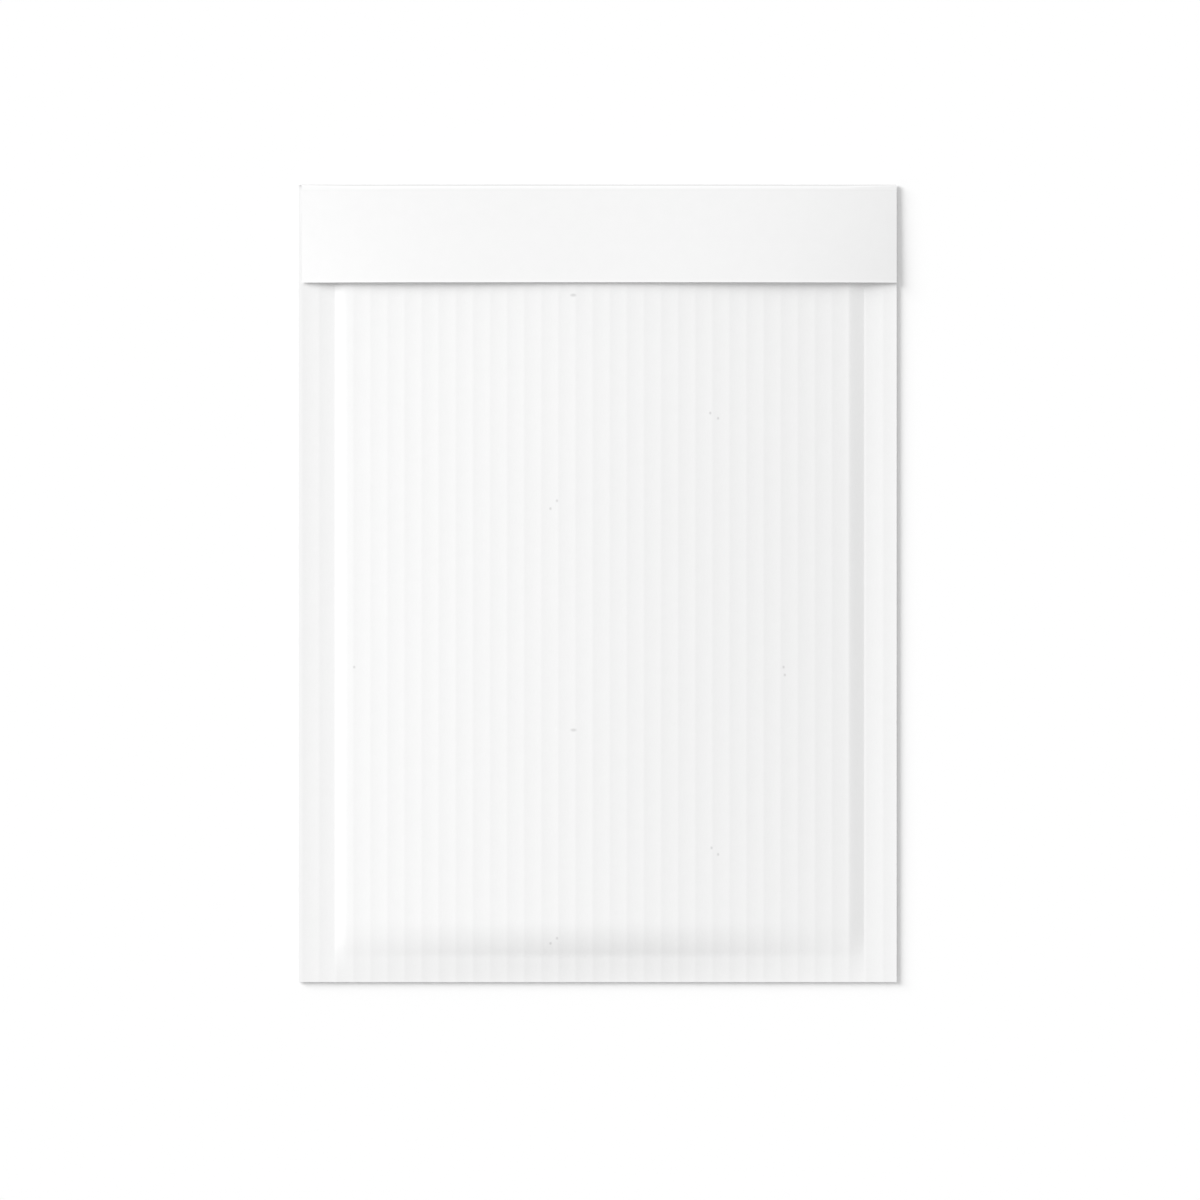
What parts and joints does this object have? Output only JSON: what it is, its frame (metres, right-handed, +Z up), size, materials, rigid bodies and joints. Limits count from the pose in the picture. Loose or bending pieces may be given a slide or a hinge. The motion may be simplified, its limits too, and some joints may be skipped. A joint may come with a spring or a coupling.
{
  "type": "padded envelope",
  "caption": "Closed flat padded paper envelope: ribbed front over a fluted lining, crushed side and bottom seams, and a plain flap folded down over the top end.",
  "frame": {"origin": "middle of the envelope's outline, on the plane that its back rests on", "axes": "+X across the width, to the right as seen facing the front with the flap at the top; +Y along the length, towards the folded flap end; +Z up out of the front, through the thickness"},
  "size_m": [0.2286, 0.3048, 0.0066],
  "materials": {
    "envelope_paper": "bleached white kraft paper, matt and slightly fibrous, with fine ribs where the fluted lining shows through"
  },
  "bodies": {
    "root": {"padded_envelope": "envelope_paper"}
  },
  "joints": []
}
